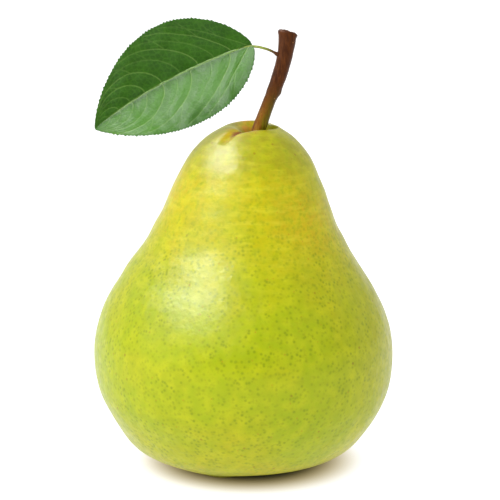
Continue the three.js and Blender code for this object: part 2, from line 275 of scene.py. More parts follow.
# The calyx: cup, sepals and stamens.
CALYX_CUP = [[0, 6.1], [1.9, 6.0], [2.5, 5.0], [2.0, 4.3], [1.2, 4.0], [0, 3.9]]
CUP_ROWS = 14
CUP_COLUMNS = 40
CUP_UNEVENNESS = 0.08
SEPALS = 5
SEPAL_TURN = 0.25
SEPAL_PATH = [[1.4, 5.0], [3.2, 4.6], [4.9, 3.7], [6.1, 2.6], [5.9, 1.6]]
SEPAL_HALF_WIDTH = 1.35
SEPAL_TAPER = 0.9
SEPAL_TAPER_POWER = 1.6
SEPAL_CUPPING = 0.35
SEPAL_THICKNESS = 0.32
SEPAL_ROWS = 40
SEPAL_ACROSS = 14
SEPAL_WAVE = 0.08
SEPAL_WAVE_TURN = 14
SEPAL_UNEVENNESS = 0.1
STAMENS = 11
STAMEN_CIRCLE = (0.7, 1.15)
STAMEN_FOOT_HEIGHT = 4.8
STAMEN_SPREAD = 0.5
STAMEN_LENGTH = 2.4
STAMEN_BEND = 0.15
STAMEN_RADIUS = 0.11
ANTHER = {"out": 0.14, "at": 0.93, "width": 0.08}
STAMEN_ROWS = 12
STAMEN_COLUMNS = 8

# Level bands of each texture square: where the first starts, the step to the next, and a band's height.
CUP_BAND = (0, 0, 1, 0.2)
SEPAL_BANDS = (0.22, 0.1, 0.09)
STAMEN_BANDS = (0.74, 0.02, 0.018)
WHOLE_SQUARE = (0, 0, 1, 1)
BLADE_BAND = (0, 0, 1, 0.8)
PETIOLE_BAND = (0, 0.82, 1, 1)

# The floor glows white, but not close round this place under the pear, which leaves a painted shadow there.
# These are in metres.
FLOOR_HALF_WIDTH = 4.0
SHADOW_MIDDLE = (1.4 * MM, 0, 0)
SHADOW_FADE = (15 * MM, 32 * MM)

# The camera looks down a little on the middle of the pear, with its distance and view in millimetres.
CAMERA_TARGET = [1.7, 0.0, 55.5]
CAMERA_DISTANCE = 500.0
CAMERA_AZIMUTH = 270
CAMERA_ELEVATION = 12.0
FRAME_WIDTH = 127.7
SENSOR = 36.0
LAMP_DISTANCE = 1.0
# The world's strength on the camera's side and behind the pear, and where between them it changes.
WORLD_STRENGTH = (0.3, 0.8)
WORLD_CHANGE = (-0.15, 0.45)


def srgb(*channels):
    """A colour given as 0 to 255 per channel, in the linear values that shaders use."""
    shares = [channel / 255 for channel in channels]
    return tuple(c / 12.92 if c <= 0.04045 else ((c + 0.055) / 1.055) ** 2.4 for c in shares)


def spline(rows, u):
    """A smooth curve through the rows, at places u counted in rows."""
    rows = np.asarray(rows, float)
    ends = np.vstack([2 * rows[0] - rows[1], rows, 2 * rows[-1] - rows[-2]])
    k = np.clip(np.floor(u).astype(int), 0, len(rows) - 2)
    f = (np.asarray(u) - k)[:, None]
    a, b, c, d = ends[k], ends[k + 1], ends[k + 2], ends[k + 3]
    return 0.5 * (2 * b + (c - a) * f + (2 * a - 5 * b + 4 * c - d) * f**2 + (3 * b - a - 3 * c + d) * f**3)


def evenly_along(rows, count, columns=slice(None)):
    """Places on the curve through the rows, counted in rows, that lie evenly along its length."""
    u = np.linspace(0, len(rows) - 1, SAMPLES_PER_STATION * len(rows))
    line = spline(rows, u)[:, columns]
    length = np.concatenate([[0], np.cumsum(np.linalg.norm(np.diff(line, axis=0), axis=1))])
    return np.interp(np.linspace(0, length[-1], count), length, u)


def fade(distance, width):
    """How strongly something acts at a distance from it, from 1 down to 0."""
    return np.exp(-((distance / width) ** 2))


def bell(points, at, reach):
    """How strongly something at a place acts on each point, from 0 to 1."""
    return np.exp(-(((points - np.array(at)) / np.array(reach)) ** 2).sum(-1))


def near_line(points, line):
    """Each point's distance to a line of points, and how far along it the nearest place is, from 0 to 1."""
    line = np.asarray(line, float)
    best = np.full(points.shape[:-1], np.inf)
    along = np.zeros(points.shape[:-1])
    for k, (start, end) in enumerate(zip(line[:-1], line[1:])):
        way = end - start
        share = np.clip(((points - start) @ way) / (way @ way), 0, 1)
        distance = np.linalg.norm(points - start - share[..., None] * way, axis=-1)
        nearer = distance < best
        best = np.where(nearer, distance, best)
        along = np.where(nearer, (k + share) / (len(line) - 1), along)
    return best, along


def ripples(points, wavelength, seed, waves=9):
    """A smooth uneven value at each point, mostly between -1 and 1, that changes over a wavelength."""
    draw = np.random.default_rng(seed)
    total = np.zeros(points.shape[:-1])
    for _ in range(waves):
        direction = draw.normal(size=3)
        direction /= np.linalg.norm(direction)
        turns = FULL_TURN / (wavelength * draw.uniform(0.7, 1.5))
        total += np.sin(points @ direction * turns + draw.uniform(0, FULL_TURN))
    return total / math.sqrt(waves)


def smoothstep(low, high, value):
    """0 up to low and 1 from high on, with a soft change between them. Low may be above high."""
    t = np.clip((value - low) / (high - low), 0, 1)
    return t * t * (3 - 2 * t)


class Surface:
    """Closed tubes of points in millimetres that become one mesh, with named values at each point."""

    def __init__(self):
        self.points = []
        self.faces = []
        self.corners = []
        self.values = {}
        self.count = 0

    def append(self, points, values):
        """Takes in points and their values, and gives the number of the first one."""
        first = self.count
        self.points.append(points)
        for name, value in values.items():
            self.values.setdefault(name, []).append(value)
        self.count += len(points)
        return first

    def add(self, rings, uv_box, values):
        """Adds a capped tube of rings, each counter-clockwise about the way from the first to the last."""
        rows, columns = rings.shape[:2]
        left, bottom, right, top = uv_box
        first = self.append(rings.reshape(-1, 3), {name: value.reshape(-1) for name, value in values.items()})
        row, column = np.meshgrid(np.arange(rows - 1), np.arange(columns), indexing="ij")
        here, above = row * columns, (row + 1) * columns
        following = (column + 1) % columns
        quads = np.stack([here + column, here + following, above + following, above + column], -1)
        across = left + (right - left) * np.stack([column, column + 1, column + 1, column], -1) / columns
        along = bottom + (top - bottom) * np.stack([row, row, row + 1, row + 1], -1) / (rows - 1)
        self.faces += (quads.reshape(-1, 4) + first).tolist()
        self.corners += np.stack([across, along], -1).reshape(-1, 2).tolist()
        for end, start, height in ((0, first, bottom), (-1, first + (rows - 1) * columns, top)):
            end_values = {name: np.array([value[end].mean()]) for name, value in values.items()}
            self.cap(rings[end], end_values, start, (left, right, height), turned=end == 0)

    def cap(self, ring, values, start, uv_edge, turned):
        """Closes a ring that starts at a point's number with a fan of triangles about its middle."""
        middle = self.append(ring.mean(0)[None], values)
        left, right, height = uv_edge
        step = (right - left) / len(ring)
        for j in range(len(ring)):
            side = [(start + j, left + step * j), (start + (j + 1) % len(ring), left + step * (j + 1))]
            (a, u_a), (b, u_b) = reversed(side) if turned else side
            self.faces.append([middle, a, b])
            self.corners += [((u_a + u_b) / 2, height), (u_a, height), (u_b, height)]

    def make(self, name, material, node):
        """The finished piece: it rides on the root body and stands for a CAD node."""
        mesh = bpy.data.meshes.new(name)
        mesh.from_pydata((np.vstack(self.points) * MM).tolist(), [], self.faces)
        mesh.polygons.foreach_set("use_smooth", np.ones(len(mesh.polygons), bool))
        layer = mesh.uv_layers.new(name="OFBake")
        layer.data.foreach_set("uv", np.array(self.corners, np.float32).ravel())
        for key, parts in self.values.items():
            attribute = mesh.attributes.new(key, "FLOAT", "POINT")
            attribute.data.foreach_set("value", np.concatenate(parts).astype(np.float32))
        mesh.update()
        mesh.materials.append(material)
        piece = bpy.data.objects.new(name, mesh)
        bpy.context.scene.collection.objects.link(piece)
        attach(piece, "root")
        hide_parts(node)
        return piece


class Shader:
    """A material with a Principled shader, and short ways to add the nodes that feed it."""

    def __init__(self, name):
        self.material = bpy.data.materials.new(name)
        self.material.use_nodes = True
        self.tree = self.material.node_tree
        self.principled = self.tree.nodes["Principled BSDF"]
        self.place = self.tree.nodes.new("ShaderNodeTexCoord").outputs["Object"]

    def node(self, kind, inputs, **settings):
        """A new shader node with its settings, and with its inputs fed."""
        made = self.tree.nodes.new("ShaderNode" + kind)
        for key, value in settings.items():
            setattr(made, key, value)
        for key, value in inputs.items():
            self.feed(made.inputs[key], value)
        return made

    def feed(self, socket, value):
        """Links another node's output to a socket, or sets its value or colour."""
        if isinstance(value, bpy.types.NodeSocket):
            self.tree.links.new(value, socket)
        elif socket.type == "RGBA":
            socket.default_value = (*value, 1.0)
        else:
            socket.default_value = value

    def value(self, name):
        """A named value of the mesh."""
        return self.node("Attribute", {}, attribute_name=name).outputs["Fac"]

    def stretched(self, scale):
        """The place on the piece, scaled along each axis: a pattern is drawn out where the scale is low."""
        return self.node("Mapping", {"Vector": self.place, "Scale": scale}).outputs[0]

    def noise(self, size, detail=2.0, roughness=0.5, place=None):
        """A cloudy value from 0 to 1 with features of a size in millimetres."""
        pattern = {"Vector": place or self.place, "Scale": 1 / (size * MM)}
        return self.node("TexNoise", {**pattern, "Detail": detail, "Roughness": roughness}).outputs["Fac"]

    def cells(self, size, place, feature="F1"):
        """Distance to the nearest middle or edge of cells of a size in millimetres, as a share of it."""
        pattern = {"Vector": place, "Scale": 1 / (size * MM)}
        return self.node("TexVoronoi", pattern, feature=feature).outputs["Distance"]

    def spots(self, spacing, core, rim, offset=0.0):
        """Round soft spots with a dark core and a faded rim, in millimetres, scattered through the piece."""
        shift = (offset * MM, offset * MM, 0)
        place = self.node("VectorMath", {0: self.place, 1: shift}, operation="ADD").outputs[0]
        return self.between(self.cells(spacing, place), core / spacing, rim / spacing, 1.0, 0.0)

    def math(self, operation, a, b):
        return self.node("Math", {0: a, 1: b}, operation=operation).outputs[0]

    def times(self, a, b):
        return self.math("MULTIPLY", a, b)

    def plus(self, a, b):
        return self.math("ADD", a, b)

    def between(self, value, low, high, out_low=0.0, out_high=1.0):
        """A value turned softly from one range into another, and kept inside it."""
        inputs = {"Value": value, "From Min": low, "From Max": high, "To Min": out_low, "To Max": out_high}
        return self.node("MapRange", inputs, interpolation_type="SMOOTHSTEP").outputs["Result"]

    def mix(self, share, a, b):
        """Colour a where the share is 0, and colour b where it is 1."""
        made = self.tree.nodes.new("ShaderNodeMix")
        made.data_type = "RGBA"
        self.feed(made.inputs[0], share)
        self.feed(made.inputs[6], a)
        self.feed(made.inputs[7], b)
        return made.outputs[2]

    def bump(self, height, depth, normal=None):
        """Relief of a depth in millimetres over a height value from 0 to 1, on top of earlier relief."""
        inputs = {"Height": height, "Distance": depth * MM, "Strength": 1.0}
        if normal is not None:
            inputs["Normal"] = normal
        return self.node("Bump", inputs).outputs["Normal"]

    def finish(self, **inputs):
        """The finished material, with the Principled shader's inputs fed."""
        for key, value in inputs.items():
            self.feed(self.principled.inputs[key.replace("_", " ")], value)
        return self.material


def skin_ground(s):
    """Green skin that turns yellow as it ripens, with painted shade that dulls its right side and its crown.
    """
    green, yellow = srgb(150, 165, 0), srgb(180, 168, 4)
    shaded, crown, amber = srgb(164, 158, 2), srgb(152, 148, 14), srgb(214, 146, 20)
    patches = s.times(s.math("SUBTRACT", s.noise(10, detail=4, roughness=0.6), 0.5), 1.5)
    colour = s.mix(s.between(s.plus(s.value("ripe"), patches), 0.0, 1.0), green, yellow)
    # Painted shade: a duller, darker colour on the right side.
    colour = s.mix(s.value("painted_shade_side"), colour, shaded)
    # Painted shade: a duller colour round the crown.
    colour = s.mix(s.value("crown"), colour, crown)
    broken = s.between(s.noise(1.6, detail=4, roughness=0.65), 0.25, 0.6, 0.55, 1.0)
    return s.mix(s.times(s.value("amber"), broken), colour, amber)


def skin_mottling(s, colour):
    """Pale clouds and green dapples over the skin, and pale level streaks round its neck."""
    pale, dark, straw = srgb(192, 192, 14), srgb(134, 146, 0), srgb(206, 198, 44)
    cloud = s.between(s.noise(2.6, detail=4, roughness=0.6), 0.35, 0.7)
    colour = s.mix(s.times(cloud, 0.55), colour, pale)
    dapple = s.between(s.noise(1.3, detail=3, roughness=0.6), 0.4, 0.75)
    colour = s.mix(s.times(dapple, 0.6), colour, dark)
    level = s.stretched((0.2, 0.2, 1.0))
    streaks = s.between(s.noise(1.4, detail=4, roughness=0.6, place=level), 0.45, 0.7)
    return s.mix(s.times(s.times(streaks, s.value("streaky")), 0.4), colour, straw)


def skin_dots(s, colour):
    """Green pores that show more in patches, and a few brown specks."""
    green, brown, orange = srgb(122, 138, 0), srgb(128, 84, 10), srgb(170, 112, 14)
    patches = s.times(s.between(s.noise(7), 0.35, 0.65, 0.55, 1.0), s.value("pores"))
    small = s.spots(spacing=1.25, core=0.02, rim=0.6)
    large = s.spots(spacing=1.8, core=0.02, rim=0.64, offset=7.3)
    pores = s.times(s.math("MAXIMUM", small, large), patches)
    colour = s.mix(s.times(pores, 0.9), colour, green)
    colour = s.mix(s.times(s.spots(spacing=6.0, core=0.2, rim=0.45), 0.5), colour, brown)
    return s.mix(s.times(s.spots(spacing=3.1, core=0.05, rim=0.34, offset=3.1), 0.5), colour, orange)


def skin_material():
    """Waxy pear skin: yellow-green ground, soft mottling, pores, rough brown skin in the hollows, and painted
    shade along the crease where the skin folds in.
    """
    s = Shader("pear_skin")
    colour = skin_dots(s, skin_mottling(s, skin_ground(s)))
    uneven = s.times(s.noise(0.9, detail=5, roughness=0.7), 0.5)
    # Brown and rough in the hollows; along the crease the same brown is painted shade under the fold.
    russet_and_crease_shade = s.between(s.plus(s.value("russet_and_crease_shade"), uneven), 0.5, 1.15)
    colour = s.mix(russet_and_crease_shade, colour, srgb(132, 76, 18))
    normal = s.bump(s.noise(3.2), 0.12)
    normal = s.bump(s.noise(1.1), 0.05, normal)
    normal = s.bump(s.times(russet_and_crease_shade, s.noise(0.35, detail=4, roughness=0.7)), 0.12, normal)
    roughness = s.plus(s.between(s.noise(1.8, detail=3), 0.3, 0.7, 0.28, 0.4), s.times(russet_and_crease_shade, 0.3))
    return s.finish(
        Base_Color=colour, Roughness=roughness, Normal=normal, IOR=1.54, Specular_IOR_Level=0.22,
        Subsurface_Weight=0.12, Subsurface_Radius=(1.0, 0.8, 0.25), Subsurface_Scale=2.5 * MM,
    )


def bark_material():
    """Woody stem: brown and faintly ridged, orange and olive towards the fruit, pale fibres at its end."""
    s = Shader("pear_stem")
    streaks = s.noise(0.5, detail=4, roughness=0.6, place=s.stretched((1.0, 1.0, 0.2)))
    light = s.between(streaks, 0.3, 0.7)
    brown = s.mix(light, srgb(56, 24, 2), srgb(86, 44, 8))
    orange = s.mix(light, srgb(120, 66, 8), srgb(176, 118, 28))
    olive = s.mix(light, srgb(80, 72, 0), srgb(120, 110, 4))
    young = s.mix(s.between(s.plus(s.value("right_side"), streaks), 0.7, 1.25), orange, olive)
    height = s.plus(s.value("along"), s.times(s.math("SUBTRACT", streaks, 0.5), 0.2))
    colour = s.mix(s.between(height, 0.36, 0.62), young, brown)
    colour = s.mix(s.times(s.spots(spacing=2.2, core=0.1, rim=0.24), 0.6), colour, srgb(160, 112, 58))
    fibres = s.mix(s.noise(0.3, detail=4, roughness=0.7), srgb(52, 26, 8), srgb(120, 78, 40))
    colour = s.mix(s.value("scar"), colour, fibres)
    normal = s.bump(streaks, 0.06)
    normal = s.bump(s.noise(0.25, detail=4, roughness=0.7), 0.03, normal)
    return s.finish(
        Base_Color=colour, Roughness=s.between(streaks, 0.3, 0.7, 0.4, 0.55), Normal=normal,
        IOR=1.36, Specular_IOR_Level=0.2,
    )


def leaf_material():
    """Leaf blade: deep green above with paler sunk veins, painted light on the lower half and painted shade
    round the edge of the upper face, lighter beneath, and a brown-green petiole.
    """
    s = Shader("pear_leaf")
    tone = s.noise(5, detail=4, roughness=0.6)
    light = s.between(tone, 0.3, 0.7)
    upper = s.mix(light, srgb(34, 75, 2), srgb(48, 94, 8))
    lower = s.mix(light, srgb(104, 138, 76), srgb(122, 154, 92))
    grain = s.between(s.cells(0.5, s.place, feature="DISTANCE_TO_EDGE"), 0.0, 0.12, 1.0, 0.0)
    # Painted light: the lower half of the upper face is paler where it faces up into the light.
    upper = s.mix(s.value("paler_half"), upper, srgb(92, 146, 54))
    upper = s.mix(s.times(grain, 0.14), upper, srgb(78, 126, 30))
    upper = s.mix(s.times(s.value("net"), 0.24), upper, srgb(74, 126, 32))
    # Painted shade: darker at the margin, the tip and the lower margin's curl.
    upper = s.mix(s.value("edge_shade"), upper, srgb(44, 88, 12))
    colour = s.mix(s.value("upper_face"), lower, upper)
    colour = s.mix(s.times(s.value("vein"), 0.5), colour, srgb(134, 168, 84))
    petiole = s.mix(s.value("stalk_end"), srgb(128, 140, 50), srgb(78, 42, 12))
    colour = s.mix(s.value("stalk"), colour, petiole)
    normal = s.bump(s.times(grain, -1.0), 0.014)
    normal = s.bump(s.noise(0.3, detail=3), 0.03, normal)
    return s.finish(
        Base_Color=colour, Roughness=s.between(tone, 0.3, 0.7, 0.46, 0.56), Normal=normal,
        IOR=1.45, Specular_IOR_Level=0.27,
        Subsurface_Weight=0.06, Subsurface_Radius=(0.4, 1.0, 0.2), Subsurface_Scale=0.6 * MM,
    )


def calyx_material():
    """Dry sepals and stamens: dull grey-brown with darker tips."""
    s = Shader("pear_calyx")
    tone = s.noise(0.8, detail=4, roughness=0.65)
    colour = s.mix(s.between(tone, 0.3, 0.7), srgb(58, 42, 28), srgb(128, 102, 70))
    colour = s.mix(s.times(s.value("tip"), 0.7), colour, srgb(34, 24, 18))
    return s.finish(Base_Color=colour, Roughness=0.8, Normal=s.bump(tone, 0.2), Specular_IOR_Level=0.25)


def floor_material():
    """A white table that glows, with a painted shadow under the pear where the glow fades out, warm at its
    edge as painted light from the fruit.
    """
    s = Shader("pale_floor")
    offset = s.node("VectorMath", {0: s.place, 1: SHADOW_MIDDLE}, operation="SUBTRACT").outputs[0]
    distance = s.node("VectorMath", {0: offset}, operation="LENGTH").outputs["Value"]
    glow = s.between(distance, *SHADOW_FADE)
    return s.finish(
        Base_Color=srgb(125, 125, 125), Roughness=0.6, Specular_IOR_Level=0.2,
        # Painted shadow and light: the glow fades out under the pear, and is tinted warm where it fades.
        Emission_Color=s.mix(glow, srgb(255, 222, 130), srgb(255, 255, 255)), Emission_Strength=glow,
    )


def round_form():
    """The fruit's even round form: rings of points, and the direction out of the axis at each."""
    rows = [[r * BELLY_RADIUS, z * FRUIT_HEIGHT, lean] for r, z, lean in MERIDIAN]
    u = evenly_along(rows, FRUIT_ROWS + 1, slice(0, 2))[1:-1]
    radius, height, lean = spline(rows, u).T
    azimuth = -FULL_TURN * np.arange(FRUIT_COLUMNS) / FRUIT_COLUMNS
    outward = np.stack([np.cos(azimuth), np.sin(azimuth), 0 * azimuth], -1)[None]
    points = np.maximum(radius, SMALLEST_RING)[:, None, None] * outward
    points[..., 0] += lean[:, None]
    points[..., 2] += height[:, None]
    return points, outward


def skin_unevenness(points):
    """How far the skin stands out of its even form at each point, in millimetres."""
    height = points[..., 2]
    uneven = sum(rise * ripples(points, wavelength, seed) for rise, wavelength, seed in SKIN_WAVES)
    level = ripples(points * NECK_RIPPLE_STRETCH, NECK_RIPPLE_LENGTH, seed=5)
    uneven += NECK_RIPPLE_HEIGHT * level * smoothstep(*NECK_RIPPLE_HEIGHTS, height)
    width = np.linalg.norm(points[..., :2], axis=-1) / BELLY_RADIUS
    sides = smoothstep(*WAVES_ABOVE_FLOOR, height) * smoothstep(*WAVES_BELOW_RIM, height)
    return uneven * sides * smoothstep(*WAVES_INSIDE_BELLY, width)


def shape_skin(points, outward):
    """Moves the round form by its swellings, ribs, crease and slight unevenness."""
    moved = points.copy()
    for swelling in SWELLINGS:
        strength = bell(points, swelling["at"], swelling["reach"])[..., None]
        moved += strength * (outward * swelling["out"] + np.array([0, 0, swelling["up"]]))
    for degrees in RIB_AZIMUTHS:
        angle = math.radians(degrees)
        at = [RIB_CIRCLE * math.cos(angle), RIB_CIRCLE * math.sin(angle), 0]
        moved[..., 2] -= RIB_DROP * bell(points, at, RIB_REACH)
    distance, along = near_line(points, CREASE)
    moved[..., 2] -= CREASE_DEPTH * fade(distance, CREASE_WIDTH) * np.sqrt(1 - along)
    moved += outward * skin_unevenness(points)[..., None]
    moved[..., 2] = np.maximum(moved[..., 2], 0)
    return moved


def skin_values(even, points):
    """How strongly each of the skin's colours shows at each point, from 0 to 1."""
    x, y, z = np.moveaxis(points, -1, 0)
    distance, along = near_line(even, CREASE)

    def in_crease(kind):
        return kind["strength"] * fade(distance, kind["width"]) * smoothstep(*kind["ends"], along)

    from_stem = np.hypot(x - STEM[2][0], y - STEM[2][1])
    root = smoothstep(*ROOT_DISTANCES, from_stem) * smoothstep(*ROOT_HEIGHTS, z)
    root *= smoothstep(*ROOT_END_HEIGHTS, z)
    basin = smoothstep(*BASIN_DISTANCES, np.hypot(x, y)) * smoothstep(*BASIN_HEIGHTS, z)
    amber = sum(patch["strength"] * bell(points, patch["at"], patch["reach"]) for patch in AMBER_PATCHES)
    neck = smoothstep(*NECK_HEIGHTS, z)
    ripe = RIPE_EVERYWHERE + RIPE_NECK * neck + RIPE_BOTTOM * smoothstep(*BOTTOM_HEIGHTS, z)
    # Painted shade on the right side, reaching a little towards the back.
    shaded = smoothstep(*SHADE_DISTANCES, x + SHADE_TOWARDS_BACK * y) * smoothstep(*SHADE_HEIGHTS, z)
    return {
        # Rough brown skin in the hollows, and painted shade along the crease.
        "russet_and_crease_shade": np.clip(CAVITY_RUSSET * (root + basin) + in_crease(CREASE_RUSSET_AND_SHADE), 0, 1),
        "ripe": ripe + RIPE_CLOUDS * ripples(points, RIPE_CLOUD_LENGTH, seed=8),
        "painted_shade_side": SHADE * shaded * (1 - SHADE_THINNING * smoothstep(*SHADE_THIN_HEIGHTS, z)),
        "amber": np.clip(amber + in_crease(CREASE_GLOW), 0, 1),
        "pores": PORES_ON_NECK + (1 - PORES_ON_NECK) * smoothstep(*PORE_HEIGHTS, z),
        # Painted shade round the crown.
        "crown": smoothstep(*CROWN_HEIGHTS, z),
        "streaky": neck,
    }


def make_fruit():
    """The fruit, with its skin shaped and coloured."""
    even, outward = round_form()
    points = shape_skin(even, outward)
    surface = Surface()
    surface.add(points, WHOLE_SQUARE, skin_values(even, points))
    return surface.make("pear_fruit", skin_material(), "fruit")


def tube_rings(line, radius, columns):
    """Rings about a line of points, with the radius at each, that turn as little as they can on the way."""
    tangents = np.gradient(line, axis=0)
    tangents /= np.linalg.norm(tangents, axis=1)[:, None]
    angle = FULL_TURN * np.arange(columns) / columns
    rings = []
    side = np.array([0.0, 1.0, 0.0])
    for centre, tangent, r in zip(line, tangents, radius):
        side = side - tangent * (side @ tangent)
        side /= np.linalg.norm(side)
        across = np.cross(tangent, side)
        rings.append(centre + np.outer(np.cos(angle) * r, side) + np.outer(np.sin(angle) * r, across))
    return np.array(rings)


def bark_relief(rings, share):
    """How far the bark stands out of the stem's even tube, at shares of its length from root to end."""
    angle = FULL_TURN * np.arange(STEM_COLUMNS) / STEM_COLUMNS
    share = share[:, None]
    ridges = sum(rise * np.sin(count * angle + twist * share) for rise, count, twist in BARK_RIDGES)
    knots = STEM_KNOTS["out"] * ripples(rings * STEM_KNOT_STRETCH, STEM_KNOTS["length"], seed=21)
    grain = STEM_GRAIN["out"] * ripples(rings, STEM_GRAIN["length"], seed=22)
    ragged = STEM_RAGS["out"] * ripples(rings, STEM_RAGS["length"], seed=23)
    ragged *= smoothstep(STEM_END_FROM, 1.0, share)
    foot = STEM_FOOT["out"] * smoothstep(*STEM_FOOT["shares"], share)
    lip = STEM_LIP["out"] * fade(share - STEM_LIP["at"], STEM_LIP["width"])
    edge = STEM_EDGE["out"] * smoothstep(*STEM_EDGE["shares"], share) ** 2
    return ridges + knots + grain + foot + lip + edge + ragged


def broken_end(edge, middle):
    """Smaller and smaller rough rings from the edge of the stem's end to its middle."""
    rings = []
    for size, depth in STEM_END_RINGS:
        ring = middle + (edge - middle) * size
        ring[:, 2] += STEM_END_ROUGHNESS * ripples(ring, 0.9, seed=24) - depth
        rings.append(ring)
    return np.array(rings)


def make_stem():
    """The stem, with its bark, its bump and its broken end."""
    u = evenly_along(STEM, STEM_ROWS, slice(0, 3))
    line = spline(STEM, u)
    share = u / (len(STEM) - 1)
    rings = tube_rings(line[:, :3], line[:, 3], STEM_COLUMNS)
    from_axis = rings - line[:, None, :3]
    outward = from_axis / np.linalg.norm(from_axis, axis=-1, keepdims=True)
    rings = rings + outward * bark_relief(rings, share)[..., None]
    to_bump = np.linalg.norm(rings - np.array(STEM_BUMP["at"]), axis=-1)
    rings[..., 0] += STEM_BUMP["out"] * fade(to_bump, STEM_BUMP["reach"])
    middle = line[-1, :3]
    slanted = STEM_END_SLANT * smoothstep(STEM_END_FROM, 1.0, share)[:, None]
    rings[..., 2] -= slanted * (rings[..., 0] - middle[0])
    end = broken_end(rings[-1], middle)
    sides, across = np.ones(rings.shape[:2]), np.ones(end.shape[:2])
    surface = Surface()
    surface.add(np.concatenate([rings, end]), WHOLE_SQUARE, {
        "along": np.concatenate([share[:, None] * sides, across]),
        "scar": np.concatenate([0 * sides, 0.9 * across]),
        "right_side": np.concatenate([(outward[..., 0] + 1) / 2, across]),
    })
    return surface.make("pear_stem", bark_material(), "stem")


def blade_shape(t):
    """Half the blade's width at a share t of its length, as a share of its widest half."""
    rise = (t / LEAF_WIDEST_AT) ** LEAF_BASE_POWER
    fall = (np.maximum(1 - t, 0) / (1 - LEAF_WIDEST_AT)) ** LEAF_TIP_POWER
    return rise * fall


def leaf_points(t, v, margin=0.0, lift=0.0):
    """Places on the leaf at shares t of its length, v from -1 at the lower margin to 1 at the upper one."""
    base = np.array(LEAF_BASE)
    chord = np.array(LEAF_TIP) - base
    facing = np.array(LEAF_FACING) / np.linalg.norm(LEAF_FACING)
    up = np.cross(chord, facing)
    up /= np.linalg.norm(up)
    half = LEAF_HALF_WIDTH * blade_shape(t)
    arch = MIDRIB_ARCH * np.sin(math.pi * t) ** MIDRIB_ARCH_POWER
    across = arch + v * half + np.sign(v) * margin
    shift = np.where(v > 0, 0, LOWER_WAVE_SHIFT)
    wave = LEAF_WAVE * v * v * np.sin(FULL_TURN * LEAF_WAVES * t + shift)
    depth = np.abs(v) * half * LEAF_FOLD + wave * blade_shape(t) - LEAF_DROOP * t * t + lift
    return base + t[..., None] * chord + across[..., None] * up + depth[..., None] * facing


def side_vein(sign, start, first, sweep, seed):
    """One side vein as points in the blade's plane, from a share of the half width out to the margin."""
    reach = np.linspace(first, VEIN_REACH, VEIN_POINTS)
    t = start + sweep * (reach**2 - first**2)
    reach, t = reach[t < VEIN_END], t[t < VEIN_END]
    half = LEAF_HALF_WIDTH * blade_shape(np.maximum(t, 0.02))
    line = np.stack([t * LEAF_LENGTH, sign * reach * half, 0 * t], -1)
    line[:, 0] += VEIN_WANDER * ripples(line, 6, seed) * (reach - first)
    return line[:, :2]


def vein_lines():
    """Every side vein and its fork as a line of points, with how strongly it shows."""
    lines = []
    for sign, veins in ((1, UPPER_VEINS), (-1, LOWER_VEINS)):
        for k, (start, strength) in enumerate(veins):
            lines.append((side_vein(sign, start, 0.0, VEIN_SWEEP, seed=40 + k), strength))
            fork = start + VEIN_SWEEP * FORK_AT**2
            lines.append((side_vein(sign, fork, FORK_AT, FORK_SWEEP, seed=60 + k), FORK_STRENGTH * strength))
    return [(line, strength) for line, strength in lines if len(line) > 1]


def net_of_cells(flat):
    """How near each place in the blade's plane is to an edge of the fine net, from 0 to 1."""
    cell = NET["cell"]
    draw = np.random.default_rng(11)
    low, high = flat.reshape(-1, 2).min(0) - cell, flat.reshape(-1, 2).max(0) + cell
    xs, ys = np.arange(low[0], high[0], cell), np.arange(low[1], high[1], cell)
    seeds = np.stack(np.meshgrid(xs, ys, indexing="ij"), -1).reshape(-1, 2)
    seeds = seeds + draw.uniform(-0.45, 0.45, seeds.shape) * cell
    edge = np.zeros(flat.shape[:2])
    for k, row in enumerate(flat):
        near = seeds[np.abs(seeds[:, 0] - row[:, 0].mean()) < 3 * cell + np.ptp(row[:, 0])]
        distance = np.linalg.norm(row[:, None] - near[None], axis=-1)
        nearest = np.partition(distance, 1, axis=1)[:, :2]
        edge[k] = fade(nearest[:, 1] - nearest[:, 0], NET["width"])
    return edge


def leaf_relief(t, v):
    """The blade's relief in millimetres, and how strongly veins and the fine net show at each place."""
    flat = np.stack([t * LEAF_LENGTH, v * LEAF_HALF_WIDTH * blade_shape(t)], -1)
    quilt = np.zeros(t.shape)
    vein = np.zeros(t.shape)
    for line, strength in vein_lines():
        distance, along = near_line(flat, line)
        shown = strength * (1 - 0.65 * along)
        quilt = np.maximum(quilt, shown * fade(distance, QUILT["width"]))
        vein = np.maximum(vein, shown * fade(distance, VEIN["width"]))
    midrib = fade(flat[..., 1], MIDRIB["width"]) * smoothstep(1.0, 0.8, t)
    net = net_of_cells(flat)
    uneven = ripples(np.stack([flat[..., 0], flat[..., 1], 0 * t], -1), 5, seed=31)
    relief = BLADE_UNEVENNESS * uneven - QUILT["depth"] * quilt - VEIN["depth"] * vein - NET["depth"] * net
    relief *= smoothstep(0.0, 0.08, t) * smoothstep(1.0, 0.9, t)
    return relief - MIDRIB["depth"] * midrib, np.maximum(vein, midrib), net


def leaf_teeth(place, t, v):
    """How far teeth carry the blade outwards, at places along it and v across it, in millimetres."""
    draw = np.random.default_rng(17)
    heights = TOOTH_HEIGHT * draw.uniform(*TOOTH_HEIGHT_SHARES, (TEETH, 2))
    tooth, within = np.divmod(place * TEETH, 1)
    rise = np.where(within < TOOTH_TIP, within / TOOTH_TIP, (1 - within) / (1 - TOOTH_TIP)) ** TOOTH_HOLLOW
    grown = rise * np.minimum(1, TOOTH_GROWTH * blade_shape(t))
    side = (v < 0).astype(int)
    return grown[:, None] * heights[tooth.astype(int)][:, side] * np.abs(v) ** MARGIN_POWER


def leaf_values(shape, **given):
    """The leaf's named values over a grid: those that are given, and 0 for the others."""
    names = ("vein", "net", "upper_face", "edge_shade", "paler_half", "stalk", "stalk_end")
    return {name: np.broadcast_to(given.get(name, 0.0), shape) for name in names}


def on_both_faces(rows):
    """Rows of values across the upper face, followed by the same ones back across the lower face."""
    return np.hstack([rows, rows[:, ::-1]])


